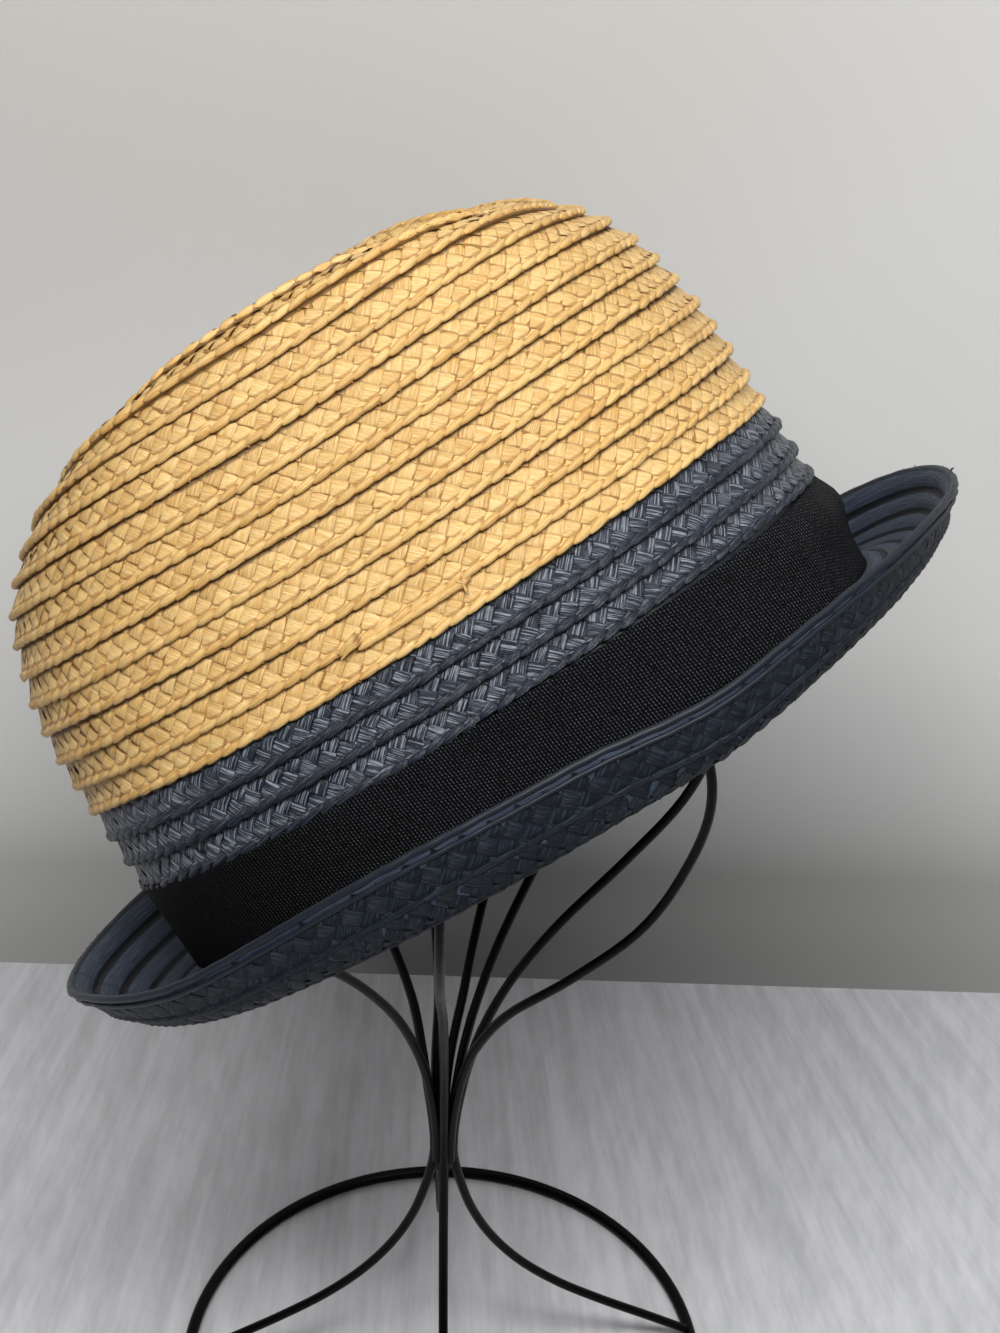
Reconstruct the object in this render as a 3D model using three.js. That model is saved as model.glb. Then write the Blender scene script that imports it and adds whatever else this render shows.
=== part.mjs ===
// A straw porkpie hat hung at a slant on a wire hat stand.
// Millimetres, +Z up. The stand's ring lies on Z = 0 and the origin is below the middle of the whole.
// The hat has a frame of its own: X along its length, Y across, Z up from the brim's break line.

import * as THREE from 'three';
import { ParametricGeometry } from 'three/addons/geometries/ParametricGeometry.js';

// ---- driving dimensions ----
const GAP = 0.3; // between neighbouring pieces
const STAND_X = -8.1; // the stand's axis, placed so that the whole is centred over the origin
const STAND_Y = -18.4;

const HAT = {
  halfLength: 98.4,
  halfWidth: 78.8,
  height: 136.6,
  squareness: 2.2, // exponent of the plan oval, 2 is an ellipse
  wall: 2, // sewn straw, two plies where the rows lap
  tilt: 33.1, // degrees, left end down
  lean: 37.3, // degrees, crown away from the front
  place: [22.5, 2.2, 247.8], // middle of the break line from the foot of the stand's axis
};
const BAND = {
  bottom: 1.4,
  top: 49.5, // where the navy rows end and the tan rows start
  slant: 1, // the seam climbs by this much toward the right end
};
const RIBBON = { bottom: 2.6, width: 25, thick: 1 };
const BRIM_WALL = 2;
const BRIM_START = -1.8; // the brim's inner edge, measured out from the crown's outside
const RIM_WAVE = 1.2; // the edge's gentle waves
const BEND_SHARPNESS = 40; // the larger, the shorter each bend of the edge
const WIRE = { ring: 3.4, rib: 2.6, leg: 2.6 };
const RING_RADIUS = 73.5;
const STEM = { radius: 4, bottom: 93.6, top: 103 };
const CAP = { radius: 9, thick: 3, height: 325.5 };

// Crown profiles from the break line to the middle of the top, along the length and across.
// reach is the share of the plan's half size, rise the share of the height.
const END_PROFILE = [
  { reach: 1, rise: 0 },
  { reach: 1, rise: 0.18 },
  { reach: 1, rise: 0.36 },
  { reach: 0.998, rise: 0.52 },
  { reach: 0.97, rise: 0.64 },
  { reach: 0.915, rise: 0.755 },
  { reach: 0.83, rise: 0.83 },
  { reach: 0.74, rise: 0.868 },
  { reach: 0.62, rise: 0.862 },
  { reach: 0.45, rise: 0.885 },
  { reach: 0.22, rise: 0.922 },
  { reach: 0, rise: 0.935 },
];
const SIDE_PROFILE = [
  { reach: 1, rise: 0 },
  { reach: 1, rise: 0.18 },
  { reach: 0.995, rise: 0.36 },
  { reach: 0.982, rise: 0.52 },
  { reach: 0.962, rise: 0.68 },
  { reach: 0.937, rise: 0.82 },
  { reach: 0.9, rise: 0.935 },
  { reach: 0.8, rise: 0.996 },
  { reach: 0.66, rise: 0.955 },
  { reach: 0.46, rise: 0.942 },
  { reach: 0.22, rise: 0.938 },
  { reach: 0, rise: 0.935 },
];
// The crown's middle drifts along the length as it rises.
const CROWN_DRIFT = [
  { shift: 0 },
  { shift: -1.6 },
  { shift: -2.4 },
  { shift: -0.9 },
  { shift: 4 },
];
// Brim sections from the crown to the rim: out from the crown's outside, and up from the break line.
const BRIM_RIGHT = [
  { out: BRIM_START, up: 0 },
  { out: 8.1, up: -1.9 },
  { out: 16.1, up: -1.2 },
  { out: 22.7, up: 3.9 },
  { out: 28.8, up: 10.4 },
];
const BRIM_LEFT = [
  { out: BRIM_START, up: 0 },
  { out: 8, up: -2.6 },
  { out: 16.9, up: -0.5 },
  { out: 24.6, up: 6.8 },
  { out: 31.1, up: 15.7 },
];
const BRIM_SIDE = [
  { out: BRIM_START, up: 0 },
  { out: 6, up: -5.2 },
  { out: 15.1, up: -6.2 },
  { out: 26.6, up: -6.9 },
  { out: 33.2, up: 8.9 },
];
// Bends of the brim's edge: degrees round it, and millimetres up.
const RIM_BENDS = [
  { bearing: -160, up: 1.2 },
  { bearing: -146, up: -1.6 },
  { bearing: -90, up: 0.6 },
  { bearing: -76, up: 2 },
  { bearing: -62, up: -2.2 },
  { bearing: -48, up: -1.4 },
  { bearing: -34, up: -2.7 },
  { bearing: -20, up: -2 },
  { bearing: -6, up: -2 },
  { bearing: 10, up: -0.9 },
  { bearing: 24, up: -0.4 },
  { bearing: 38, up: -0.5 },
  { bearing: 104, up: 1 },
  { bearing: 116, up: 2 },
  { bearing: 128, up: 2.5 },
  { bearing: 140, up: 5 },
  { bearing: 152, up: 4 },
  { bearing: 165, up: 1.5 },
];
// Stand wires, as distance from the axis and height.
const RIB_PROFILE = [
  { radius: 3.7, height: STEM.top + GAP },
  { radius: 3.8, height: 112 },
  { radius: 4.6, height: 122 },
  { radius: 6.6, height: 135 },
  { radius: 10.6, height: 150 },
  { radius: 18, height: 168 },
  { radius: 30, height: 188 },
  { radius: 46.5, height: 210 },
  { radius: 61, height: 232 },
  { radius: 68, height: 254 },
  { radius: 66.6, height: 273 },
  { radius: 58.5, height: 290 },
  { radius: 45.5, height: 305.5 },
  { radius: 28.5, height: 318.5 },
  { radius: 9.9, height: 325 },
];
const LEG_PROFILE = [
  { radius: 3.7, height: STEM.bottom - GAP },
  { radius: 5, height: 84 },
  { radius: 8.3, height: 72 },
  { radius: 14, height: 59 },
  { radius: 22.5, height: 46 },
  { radius: 33.5, height: 34 },
  { radius: 46.5, height: 23 },
  { radius: 61, height: 12 },
  { radius: 72.1, height: 3.3 },
];
// Where each rib leaves the stem and where it runs on the dome, in degrees from +X toward +Y.
// A bent rib swings up to a height of its own and stands out by a bulge.
const RIBS = [
  { stem: -90, dome: -90.5 },
  { stem: -45, dome: -16, until: 240, bulge: 8 },
  { stem: 0, dome: 7 },
  { stem: 45, dome: 43 },
  { stem: 90, dome: 66 },
  { stem: 135, dome: 100 },
  { stem: 180, dome: 141 },
  { stem: 225, dome: 220 },
];
const FAN = { from: 106, to: 155 }; // heights between which a rib swings to its own bearing
const BULGE = { height: 200, spread: 28 }; // where a bent rib stands out furthest
const LEGS = [
  { name: 'right', bearing: 12 },
  { name: 'back', bearing: 92 },
  { name: 'left', bearing: 179 },
  { name: 'front', bearing: -88 },
];

// ---- mesh fineness ----
const AROUND = 56;
const CROWN_STEPS = 15;
const BAND_STEPS = 3;
const BRIM_STEPS = 7;
const RING_STEPS = 64;
const RIB_STEPS = 22;
const LEG_STEPS = 14;
const WIRE_SIDES = 8;

// ---- materials ----
const tanStraw = { color: 0xd2a566, roughness: 0.7, metalness: 0 };
const navyStraw = { color: 0x2c3344, roughness: 0.6, metalness: 0 };
const blackRibbon = { color: 0x101114, roughness: 0.85, metalness: 0 };
const blackWire = { color: 0x0c0c0c, roughness: 0.35, metalness: 0.3 };

const radians = THREE.MathUtils.degToRad;
const curveOf = (rows, x, y) => new THREE.SplineCurve(rows.map((row) => new THREE.Vector2(row[x], row[y])));
const endProfile = curveOf(END_PROFILE, 'reach', 'rise');
const sideProfile = curveOf(SIDE_PROFILE, 'reach', 'rise');
const driftCurve = new THREE.SplineCurve(CROWN_DRIFT.map((row, i) => new THREE.Vector2(i, row.shift)));
const brimCurves = [BRIM_RIGHT, BRIM_LEFT, BRIM_SIDE].map((rows) => curveOf(rows, 'out', 'up'));

// The plan oval's point at an angle, and how much of the side's shape it takes.
function planPoint(angle) {
  const n = HAT.squareness;
  const along = Math.abs(Math.cos(angle) / HAT.halfLength) ** n;
  const across = Math.abs(Math.sin(angle) / HAT.halfWidth) ** n;
  const radius = (along + across) ** (-1 / n);
  const point = new THREE.Vector2(radius * Math.cos(angle), radius * Math.sin(angle));
  return { point, side: (point.y / HAT.halfWidth) ** 2 };
}

// A point of the crown's outside, t from 0 at the break line to 1 at the middle of the top.
function crownPoint(angle, t) {
  const { point, side } = planPoint(angle);
  const profile = endProfile.getPoint(t).lerp(sideProfile.getPoint(t), side);
  const drift = driftCurve.getPoint(Math.min(profile.y, 1)).y;
  return new THREE.Vector3(point.x * profile.x + drift, point.y * profile.x, profile.y * HAT.height);
}

// The t at which the lower wall reaches a height, found by halving.
function wallShare(height) {
  let [low, high] = [0, 0.5];
  for (let i = 0; i < 30; i += 1) {
    const middle = (low + high) / 2;
    if (sideProfile.getPoint(middle).y * HAT.height < height) low = middle;
    else high = middle;
  }
  return low;
}

// A point of the brim's middle surface, t from 0 at the crown to 1 at the rim.
function brimPoint(angle, t) {
  const { point, side } = planPoint(angle);
  const step = 0.001;
  const ahead = planPoint(angle + step).point;
  const out = new THREE.Vector2(ahead.y - point.y, point.x - ahead.x).normalize();
  const end = brimCurves[Math.cos(angle) > 0 ? 0 : 1].getPoint(t);
  const section = end.lerp(brimCurves[2].getPoint(t), side);
  const wave = RIM_WAVE * (Math.cos(3 * angle) - Math.cos(5 * angle));
  let bend = 0;
  for (const row of RIM_BENDS) {
    const turned = Math.cos(angle - THREE.MathUtils.degToRad(row.bearing));
    bend += row.up * Math.exp(BEND_SHARPNESS * (turned - 1));
  }
  const flat = point.add(out.multiplyScalar(section.x));
  return new THREE.Vector3(flat.x, flat.y, section.y + (wave + bend) * t * t);
}

// A surface's outward normal, from its neighbours.
function normalAt(surface, angle, t) {
  const step = 0.002;
  const before = Math.max(t - step, 0);
  const after = Math.min(t + step, 0.999);
  const round = surface(angle + step, Math.min(t, 0.999)).sub(surface(angle - step, Math.min(t, 0.999)));
  const up = surface(angle, after).sub(surface(angle, Math.min(before, after - step)));
  return round.cross(up).normalize();
}

// A sheet from a surface function: high and low are how far its faces stand off the surface.
function sheet(surface, { from, to, high, low, steps, pole = false }) {
  const rows = [];
  for (let i = steps; i >= 0; i -= 1) rows.push({ share: i / steps, off: low });
  for (let i = 0; i <= steps; i += 1) rows.push({ share: i / steps, off: high });
  if (!pole) rows.push(rows[0]);
  const last = rows.length - 1;
  return new ParametricGeometry((u, v, target) => {
    const angle = 2 * Math.PI * (u === 1 ? 0 : u);
    const { share, off } = rows[Math.round(v * last)];
    const t = THREE.MathUtils.lerp(from(angle), to(angle), share);
    const normal = pole && share === 1 ? new THREE.Vector3(0, 0, 1) : normalAt(surface, angle, t);
    target.copy(surface(angle, t)).addScaledVector(normal, off);
  }, AROUND, last);
}

function makeMesh(name, geometry, finish) {
  const mesh = new THREE.Mesh(geometry, new THREE.MeshStandardMaterial(finish));
  mesh.name = name;
  return mesh;
}

// ---- the hat ----
const seamHeight = (angle) => BAND.top + BAND.slant * Math.cos(angle);

function crown() {
  const from = (angle) => wallShare(seamHeight(angle) + GAP);
  return sheet(crownPoint, { from, to: () => 1, high: 0, low: -HAT.wall, steps: CROWN_STEPS, pole: true });
}

function band() {
  const from = () => wallShare(BAND.bottom);
  const to = (angle) => wallShare(seamHeight(angle));
  return sheet(crownPoint, { from, to, high: 0, low: -HAT.wall, steps: BAND_STEPS });
}

function ribbon() {
  const from = () => wallShare(RIBBON.bottom);
  const to = () => wallShare(RIBBON.bottom + RIBBON.width);
  return sheet(crownPoint, { from, to, high: GAP + RIBBON.thick, low: GAP, steps: 2 });
}

function brim() {
  const half = BRIM_WALL / 2;
  return sheet(brimPoint, { from: () => 0, to: () => 1, high: half, low: -half, steps: BRIM_STEPS });
}

const hat = new THREE.Group();
hat.position.set(...HAT.place);
hat.rotation.set(-radians(HAT.lean), -radians(HAT.tilt), 0, 'XYZ');
hat.add(
  makeMesh('straw_crown', crown(), tanStraw),
  makeMesh('crown_band', band(), navyStraw),
  makeMesh('brim', brim(), navyStraw),
  makeMesh('ribbon', ribbon(), blackRibbon),
);

// ---- the stand ----
function polygon(diameter, sides) {
  const radius = diameter / 2 / Math.cos(Math.PI / sides);
  const corner = (i) => ((i + 0.5) / sides) * 2 * Math.PI;
  const at = (i) => new THREE.Vector2(radius * Math.cos(corner(i)), radius * Math.sin(corner(i)));
  return Array.from({ length: sides }, (_, i) => at(i));
}

function baseRing() {
  const section = polygon(WIRE.ring, WIRE_SIDES);
  const place = (p) => new THREE.Vector2(RING_RADIUS + p.x, WIRE.ring / 2 + p.y);
  const outline = [...section, section[0]].map(place);
  return new THREE.LatheGeometry(outline, RING_STEPS).rotateX(Math.PI / 2);
}

function wireAlong(points, diameter, steps) {
  const path = new THREE.CatmullRomCurve3(points);
  const section = new THREE.Shape(polygon(diameter, WIRE_SIDES));
  return new THREE.ExtrudeGeometry(section, { steps, extrudePath: path });
}

function onAxis(bearing, { radius, height }) {
  return new THREE.Vector3(radius * Math.cos(bearing), radius * Math.sin(bearing), height);
}

function ribMesh(rib, index) {
  const bearingAt = (height) => {
    const swing = THREE.MathUtils.smoothstep(height, FAN.from, rib.until ?? FAN.to);
    return radians(THREE.MathUtils.lerp(rib.stem, rib.dome, swing));
  };
  const bulgeAt = (height) => (rib.bulge ?? 0) * Math.exp(-(((height - BULGE.height) / BULGE.spread) ** 2));
  const points = RIB_PROFILE.map(({ radius, height }) => {
    return onAxis(bearingAt(height), { radius: radius + bulgeAt(height), height });
  });
  return makeMesh(`stand_rib_${index + 1}`, wireAlong(points, WIRE.rib, RIB_STEPS), blackWire);
}

function legMesh(leg) {
  const points = LEG_PROFILE.map((row) => onAxis(radians(leg.bearing), row));
  return makeMesh(`stand_leg_${leg.name}`, wireAlong(points, WIRE.leg, LEG_STEPS), blackWire);
}

function upright(radius, height, middle) {
  return new THREE.CylinderGeometry(radius, radius, height, 16).rotateX(Math.PI / 2).translate(0, 0, middle);
}

const stand = new THREE.Group();
stand.add(
  makeMesh('stand_base_ring', baseRing(), blackWire),
  makeMesh('stand_stem', upright(STEM.radius, STEM.top - STEM.bottom, (STEM.top + STEM.bottom) / 2), blackWire),
  makeMesh('stand_top_cap', upright(CAP.radius, CAP.thick, CAP.height), blackWire),
  ...LEGS.map(legMesh),
  ...RIBS.map(ribMesh),
);

const whole = new THREE.Group();
whole.add(hat, stand);
whole.position.set(STAND_X, STAND_Y, 0);

export default whole;
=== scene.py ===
# A straw porkpie hat on a wire stand: sewn rows of plaited straw, a grosgrain ribbon and black wire.
import math
import bpy
import numpy as np
from mathutils import Matrix, Vector


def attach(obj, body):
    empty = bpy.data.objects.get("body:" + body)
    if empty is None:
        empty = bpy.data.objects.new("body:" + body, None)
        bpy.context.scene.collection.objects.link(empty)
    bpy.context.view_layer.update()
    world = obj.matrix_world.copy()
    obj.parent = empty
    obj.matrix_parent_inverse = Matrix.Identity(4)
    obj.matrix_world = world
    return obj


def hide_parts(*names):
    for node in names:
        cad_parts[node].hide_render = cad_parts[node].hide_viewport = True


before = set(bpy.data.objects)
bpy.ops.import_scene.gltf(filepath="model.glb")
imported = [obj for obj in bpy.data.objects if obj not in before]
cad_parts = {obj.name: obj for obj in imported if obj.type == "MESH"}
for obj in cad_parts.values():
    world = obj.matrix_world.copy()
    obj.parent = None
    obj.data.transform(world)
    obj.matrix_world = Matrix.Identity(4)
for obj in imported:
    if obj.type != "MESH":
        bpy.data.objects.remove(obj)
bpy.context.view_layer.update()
dice = np.random.default_rng(7)
print("frame loaded")


# ---- the hat's shape, in millimetres in a frame of its own ----
hat = {
    "halfLength": 98.4,
    "halfWidth": 78.8,
    "height": 136.6,
    "squareness": 2.2,
    "tilt": 33.1,  # degrees, left end down
    "lean": 37.3,  # degrees, crown away from the front
    "place": (14.4, -16.2, 247.8),
    "rows": 27.0,  # of braid, from the break line to the middle of the top
    "tanRow": 6.34,  # the row line that the tan straw starts from, at the front
    "leftRise": 0.34,  # rows by which the row lines climb at the left end
    "splice": 0.75,  # how far round the navy straw ends, 0.25 is the front
    "hiddenRow": 3.02,  # rows below this are under the ribbon
}
endProfile = [
    (1, 0), (1, 0.18), (1, 0.36), (0.998, 0.52), (0.97, 0.64), (0.915, 0.755),
    (0.83, 0.83), (0.74, 0.868), (0.62, 0.862), (0.45, 0.885), (0.22, 0.922), (0, 0.935),
]
sideProfile = [
    (1, 0), (1, 0.18), (0.995, 0.36), (0.982, 0.52), (0.962, 0.68), (0.937, 0.82),
    (0.9, 0.935), (0.8, 0.996), (0.66, 0.955), (0.46, 0.942), (0.22, 0.938), (0, 0.935),
]
crownDrift = [(0,), (-1.6,), (-2.4,), (-0.9,), (4,)]
brimRight = [(-1.8, 0), (8.1, -1.9), (16.1, -1.2), (22.7, 3.9), (28.8, 10.4)]
brimLeft = [(-1.8, 0), (8, -2.6), (16.9, -0.5), (24.6, 6.8), (31.1, 15.7)]
brimSide = [(-1.8, 0), (6, -5.2), (15.1, -6.2), (26.6, -6.9), (33.2, 8.9)]
brimRows = [0, 0.2, 0.39, 0.57, 0.74, 1]  # shares of the brim's slope where its rows meet
rim = {
    "wave": 1.2,  # millimetres, the even waves of the edge
    "sharpness": 40,  # of one bend
    "bends": [  # degrees round the brim and millimetres up, where the edge is bent
        (-160, 1.2), (-146, -1.6), (-90, 0.6), (-76, 2.0), (-62, -2.2), (-48, -1.4), (-34, -2.7), (-20, -2),
        (-6, -2), (10, -0.9), (24, -0.4), (38, -0.5), (104, 1), (116, 2), (128, 2.5), (140, 5), (152, 4),
        (165, 1.5),
    ],
}


def through(rows, t):  # a smooth curve through the rows, as the solids use
    rows = np.asarray(rows, float)
    last = len(rows) - 1
    x = last * np.asarray(t, float)
    i = np.clip(np.floor(x).astype(int), 0, last)
    w = (x - i)[..., None]
    a, b = rows[np.maximum(i - 1, 0)], rows[i]
    c, d = rows[np.minimum(i + 1, last)], rows[np.minimum(i + 2, last)]
    a = np.where((i == 0)[..., None], b, a)
    u, v = (c - a) / 2, (d - b) / 2
    return (2 * b - 2 * c + u + v) * w**3 + (3 * c - 3 * b - 2 * u - v) * w**2 + u * w + b


def planOval(angle):
    n = hat["squareness"]
    along = np.abs(np.cos(angle) / hat["halfLength"]) ** n
    across = np.abs(np.sin(angle) / hat["halfWidth"]) ** n
    radius = (along + across) ** (-1 / n)
    x, y = radius * np.cos(angle), radius * np.sin(angle)
    return x, y, (y / hat["halfWidth"]) ** 2


def crownSurface(angle, t):
    angle, t = np.broadcast_arrays(angle, t)
    x, y, side = planOval(angle)
    profile = through(endProfile, t) * (1 - side[..., None]) + through(sideProfile, t) * side[..., None]
    drift = through(crownDrift, np.clip(profile[..., 1], 0, 1))[..., 0]
    return np.stack([x * profile[..., 0] + drift, y * profile[..., 0], profile[..., 1] * hat["height"]], -1)


def brimSurface(angle, t):
    angle, t = np.broadcast_arrays(angle, t)
    x, y, side = planOval(angle)
    ax, ay, _ = planOval(angle + 0.001)
    out = np.stack([ay - y, x - ax], -1)
    out /= np.linalg.norm(out, axis=-1, keepdims=True)
    right = (np.cos(angle) > 0)[..., None]
    end = np.where(right, through(brimRight, t), through(brimLeft, t))
    section = end * (1 - side[..., None]) + through(brimSide, t) * side[..., None]
    wave = rim["wave"] * (np.cos(3 * angle) - np.cos(5 * angle))
    bend = sum(up * np.exp(rim["sharpness"] * (np.cos(angle - math.radians(bearing)) - 1))
               for bearing, up in rim["bends"])
    flat = np.stack([x, y], -1) + out * section[..., :1]
    return np.concatenate([flat, (section[..., 1] + (wave + bend) * t * t)[..., None]], -1)


class RowSurface:  # a surface with its slope measured in rows instead of t
    spokes, samples = 240, 800  # of the table that turns rows into t
    step, rowStep = 0.004, 0.03  # radians and rows, from which the axes are measured

    def __init__(self, surface, rowShares):
        self.surface = surface
        self.shares = np.asarray(rowShares, float)
        self.angles = np.linspace(-math.pi, math.pi, self.spokes + 1)
        t = np.linspace(0, 1, 2 * self.samples + 1)
        grid = surface(self.angles[:, None], t[None, :])
        step = np.linalg.norm(np.diff(grid, axis=1), axis=2)
        arc = np.concatenate([np.zeros((len(grid), 1)), np.cumsum(step, axis=1)], axis=1)
        self.lengths = arc[:, -1]
        marks = np.linspace(0, 1, self.samples + 1)
        self.table = np.array([np.interp(marks * row[-1], row, t) for row in arc])

    def at(self, angle, row):
        angle, row = np.broadcast_arrays(np.asarray(angle, float), np.asarray(row, float))
        share = np.interp(row, np.arange(len(self.shares)), self.shares)
        i = ((angle + math.pi) % (2 * math.pi)) / (2 * math.pi) * self.spokes
        k = share * self.samples
        i0 = np.minimum(i.astype(int), self.spokes - 1)
        k0 = np.clip(k.astype(int), 0, self.samples - 1)
        di, dk = i - i0, k - k0
        low = self.table[i0, k0] * (1 - dk) + self.table[i0, k0 + 1] * dk
        high = self.table[i0 + 1, k0] * (1 - dk) + self.table[i0 + 1, k0 + 1] * dk
        return self.surface(angle, low * (1 - di) + high * di)

    def axes(self, angle, row):  # along the row, up the slope and outward
        row = np.clip(row, self.rowStep, len(self.shares) - 1 - self.rowStep)
        along = self.at(angle + self.step, row) - self.at(angle - self.step, row)
        slope = self.at(angle, row + self.rowStep) - self.at(angle, row - self.rowStep)
        along /= np.linalg.norm(along, axis=-1, keepdims=True)
        out = np.cross(along, slope)
        out /= np.linalg.norm(out, axis=-1, keepdims=True)
        return along, np.cross(out, along), out


tilt, lean = math.radians(hat["tilt"]), math.radians(hat["lean"])
hatTurn = np.array(Matrix.Rotation(-lean, 3, "X") @ Matrix.Rotation(-tilt, 3, "Y"))


def inRoom(points):  # from the hat's frame in millimetres to the part's in metres
    return (np.asarray(points) @ hatTurn.T + np.array(hat["place"])) / 1000


crown = RowSurface(crownSurface, np.linspace(0, 1, int(hat["rows"]) + 1))
brim = RowSurface(brimSurface, brimRows)


# ---- nets of nodes, written as sums ----
class Signal:  # a socket that can be added, multiplied and so on
    def __init__(self, net, socket):
        self.net = net
        self.socket = socket

    def do(self, operation, *others, clamp=False):
        terms = dict(enumerate((self, *others)))
        return self.net.node("ShaderNodeMath", {"operation": operation, "use_clamp": clamp}, terms)

    def __add__(self, other):
        return self.do("ADD", other)

    def __sub__(self, other):
        return self.do("SUBTRACT", other)

    def __mul__(self, other):
        return self.do("MULTIPLY", other)

    def __truediv__(self, other):
        return self.do("DIVIDE", other)

    def __pow__(self, other):
        return self.do("POWER", other)

    def __rsub__(self, other):
        return self.net.value(other).do("SUBTRACT", self)

    def __abs__(self):
        return self.do("ABSOLUTE")

    __radd__ = __add__
    __rmul__ = __mul__

    def between(self, low, high):  # 0 below low, 1 above high
        sockets = {"Value": self, "From Min": low, "From Max": high}
        return self.net.node("ShaderNodeMapRange", {"interpolation_type": "SMOOTHSTEP"}, sockets)


class Net:  # a node tree, with one method that adds any node
    def __init__(self, tree):
        self.tree = tree

    def node(self, kind, settings=None, sockets=None, out=0):
        made = self.tree.nodes.new(kind)
        for name, value in (settings or {}).items():
            if name == "stops":
                for stop, (place, colour) in zip(self.stopsOf(made, len(value)), value):
                    stop.position, stop.color = place, (*colour, 1)
            else:
                setattr(made, name, value)
        for name, value in (sockets or {}).items():
            if isinstance(value, Signal):
                self.tree.links.new(value.socket, made.inputs[name])
            else:
                made.inputs[name].default_value = value
        return Signal(self, made.outputs[out]) if made.outputs else made

    def stopsOf(self, ramp, count):
        stops = ramp.color_ramp.elements
        while len(stops) < count:
            stops.new(0.5)
        return stops

    def value(self, number):
        made = self.tree.nodes.new("ShaderNodeValue")
        made.outputs[0].default_value = number
        return Signal(self, made.outputs[0])

    def mix(self, share, a, b):  # colours
        made = self.tree.nodes.new("ShaderNodeMix")
        made.data_type = "RGBA"
        for name, value in ((0, share), (6, a), (7, b)):
            if isinstance(value, Signal):
                self.tree.links.new(value.socket, made.inputs[name])
            else:
                made.inputs[name].default_value = value if name == 0 else (*value, 1)
        return Signal(self, made.outputs[2])

    def attribute(self, name, out="Fac"):
        return self.node("ShaderNodeAttribute", {"attribute_name": name}, out=out)

    def parts(self, vector):
        return [self.node("ShaderNodeSeparateXYZ", None, {0: vector}, out=i) for i in range(3)]

    def vector(self, x, y, z):
        return self.node("ShaderNodeCombineXYZ", None, {0: x, 1: y, 2: z})

    def noise(self, place, scale, detail=2.0, rough=0.5):
        sockets = {"Vector": place, "Scale": scale, "Detail": detail, "Roughness": rough}
        return self.node("ShaderNodeTexNoise", None, sockets)


def newMaterial(name):
    made = bpy.data.materials.new(name)
    made.use_nodes = True
    made.node_tree.nodes.clear()
    return made, Net(made.node_tree)


def finishMaterial(net, surface):
    net.node("ShaderNodeOutputMaterial", None, {"Surface": surface})


def bumped(net, height, strength, distance):
    return net.node("ShaderNodeBump", None, {"Height": height, "Strength": strength, "Distance": distance})


# ---- the node groups that repeat the plait's strands ----
strandSizes = {"Strand length": 0.0058, "Strand width": 0.0045, "Dip": 0.0007, "Shoulder": 0.00018}
lobeSizes = {"Lobe length": 0.0079, "Lobe width": 0.0021, "Lobe height": 0.0022, "Bend": 0.0003}


class Grower:  # a geometry node group under construction
    def __init__(self, name, sizes):
        self.tree = bpy.data.node_groups.new(name, "GeometryNodeTree")
        self.tree.interface.new_socket("Geometry", in_out="INPUT", socket_type="NodeSocketGeometry")
        for label, size in sizes.items():
            made = self.tree.interface.new_socket(label, in_out="INPUT", socket_type="NodeSocketFloat")
            made.default_value = size
        self.tree.interface.new_socket("Finish", in_out="INPUT", socket_type="NodeSocketMaterial")
        self.tree.interface.new_socket("Geometry", in_out="OUTPUT", socket_type="NodeSocketGeometry")
        self.net = Net(self.tree)
        self.given = self.tree.nodes.new("NodeGroupInput")

    def size(self, label):
        return Signal(self.net, self.given.outputs[label])

    def named(self, name, kind, out=0):
        return self.net.node("GeometryNodeInputNamedAttribute", {"data_type": kind}, {"Name": name}, out=out)

    def shift(self, mesh, offset):
        return self.net.node("GeometryNodeSetPosition", None, {"Geometry": mesh, "Offset": offset})

    def keep(self, mesh, name, kind, value):
        settings = {"data_type": kind, "domain": "POINT"}
        sockets = {"Geometry": mesh, "Name": name, "Value": value}
        return self.net.node("GeometryNodeStoreNamedAttribute", settings, sockets)

    def standOn(self, shape):  # one shape on each point, turned to the cloth
        net = self.net
        facing, along = self.named("facing", "FLOAT_VECTOR"), self.named("along", "FLOAT_VECTOR")
        axes = {"primary_axis": "Z", "secondary_axis": "X"}
        turned = net.node("FunctionNodeAxesToRotation", axes, {0: facing, 1: along})
        twist = net.vector(0.0, self.named("pitch", "FLOAT"), self.named("turn", "FLOAT"))
        local = net.node("FunctionNodeEulerToRotation", None, {0: twist})
        both = net.node("FunctionNodeRotateRotation", {"rotation_space": "LOCAL"}, {0: turned, 1: local})
        place = {"Points": self.size("Geometry"), "Instance": shape, "Rotation": both,
                 "Scale": self.named("stretch", "FLOAT_VECTOR")}
        grown = net.node("GeometryNodeInstanceOnPoints", None, place)
        grown = net.node("GeometryNodeRealizeInstances", None, {"Geometry": grown})
        for name in ("facing", "along", "pitch", "stretch"):
            grown = net.node("GeometryNodeRemoveAttribute", None, {"Geometry": grown, "Name": name})
        return self.painted(grown)

    def painted(self, mesh):  # the group's end
        smooth = self.net.node("GeometryNodeSetShadeSmooth", None, {0: mesh, "Shade Smooth": True})
        finish = {"Geometry": smooth, "Material": self.size("Finish")}
        coloured = self.net.node("GeometryNodeSetMaterial", None, finish)
        end = self.tree.nodes.new("NodeGroupOutput")
        self.tree.links.new(coloured.socket, end.inputs[0])
        return self.tree


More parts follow.
